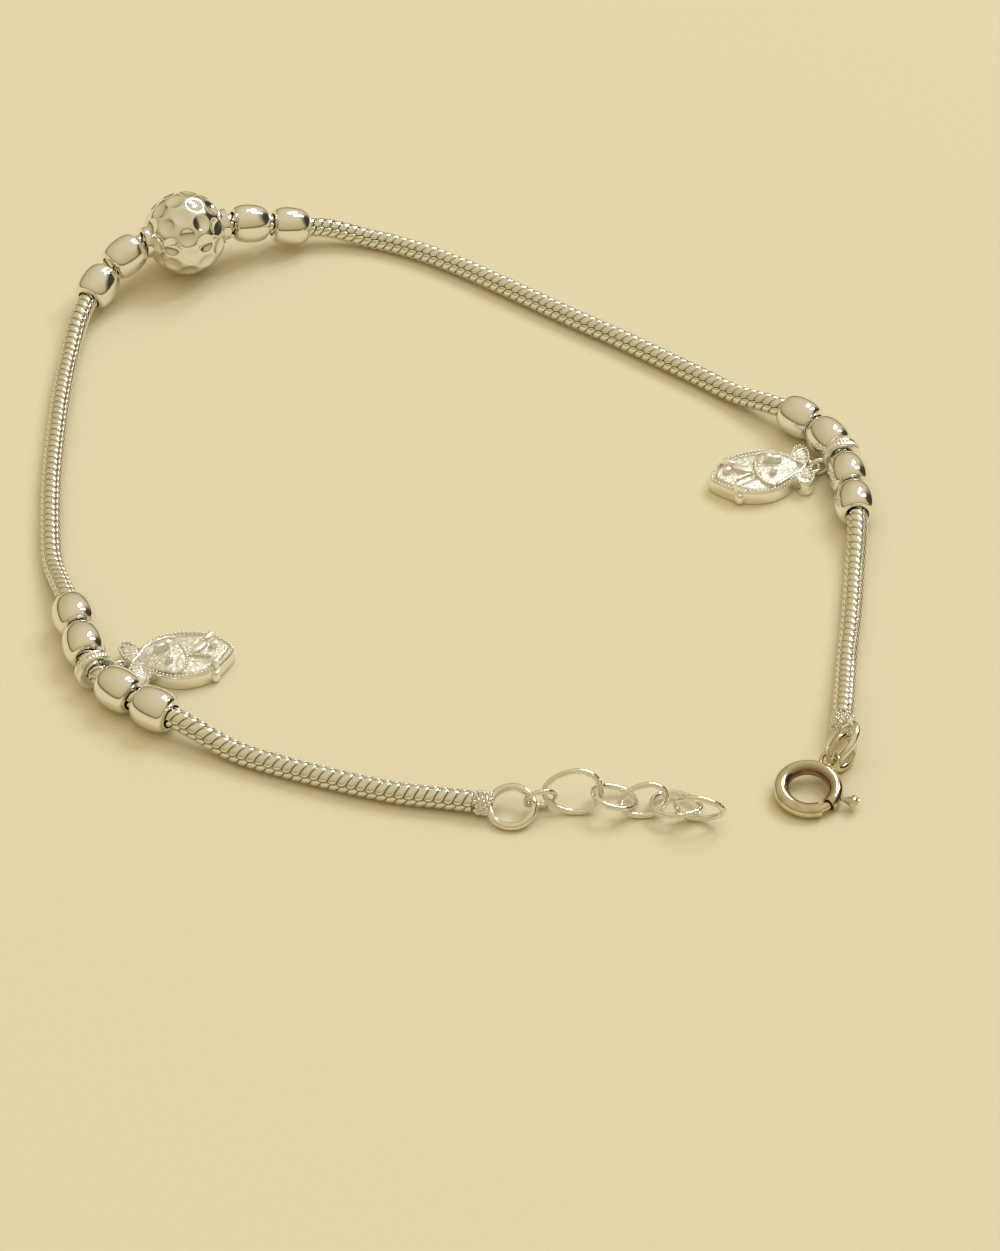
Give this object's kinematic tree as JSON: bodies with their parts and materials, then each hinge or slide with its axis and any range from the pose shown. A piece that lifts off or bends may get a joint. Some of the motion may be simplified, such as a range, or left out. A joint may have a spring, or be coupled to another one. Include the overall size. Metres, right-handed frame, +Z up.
{
  "type": "charm bracelet",
  "caption": "Silver snake chain bracelet lying open, with barrel beads, a large centre ball, flat fish charms, a link extension and a spring ring clasp.",
  "frame": {"origin": "centre of the bounding box's underside, on the surface that the bracelet lies on", "axes": "+X to the right across the bracelet, +Y away from its open front towards the centre ball, +Z up"},
  "size_m": [0.064, 0.0724, 0.0069],
  "materials": {
    "chain_silver": "satin, lightly tarnished between the plates",
    "bead_silver": "polished",
    "ball_silver": "polished",
    "charm_silver": "frosted, with polished raised forms",
    "link_silver": "worn polish",
    "clasp_silver": "polished, slightly browned"
  },
  "bodies": {
    "bracelet": {"snake_chain": "chain_silver", "bead_left_1": "bead_silver", "bead_left_2": "bead_silver", "bead_left_3": "bead_silver", "bead_left_4": "bead_silver", "bead_far_1": "bead_silver", "bead_far_2": "bead_silver", "bead_far_3": "bead_silver", "bead_far_4": "bead_silver", "bead_right_1": "bead_silver", "bead_right_2": "bead_silver", "bead_right_3": "bead_silver", "bead_right_4": "bead_silver", "centre_ball": "ball_silver", "charm_bail_left": "link_silver", "charm_bail_right": "link_silver", "fish_charm_left": "charm_silver", "fish_charm_right": "charm_silver", "end_ring_front": "link_silver", "connector_link": "link_silver", "extension_link_1": "link_silver", "extension_link_2": "link_silver", "extension_link_3": "link_silver", "extension_link_4": "link_silver", "extension_link_5": "link_silver", "end_ring_clasp": "link_silver", "clasp_link": "link_silver", "clasp_ring": "clasp_silver"},
    "clasp_bolt": {"clasp_bolt": "clasp_silver"}
  },
  "joints": [
    {"name": "clasp_trigger", "type": "hinge", "parent": "bracelet", "child": "clasp_bolt", "pos_m": [0.02518, -0.03266, 0.00086], "axis": [0, -0.1564, 0.9877], "range_deg": [0, 30], "stiffness_Nm_per_rad": 0.002}
  ]
}
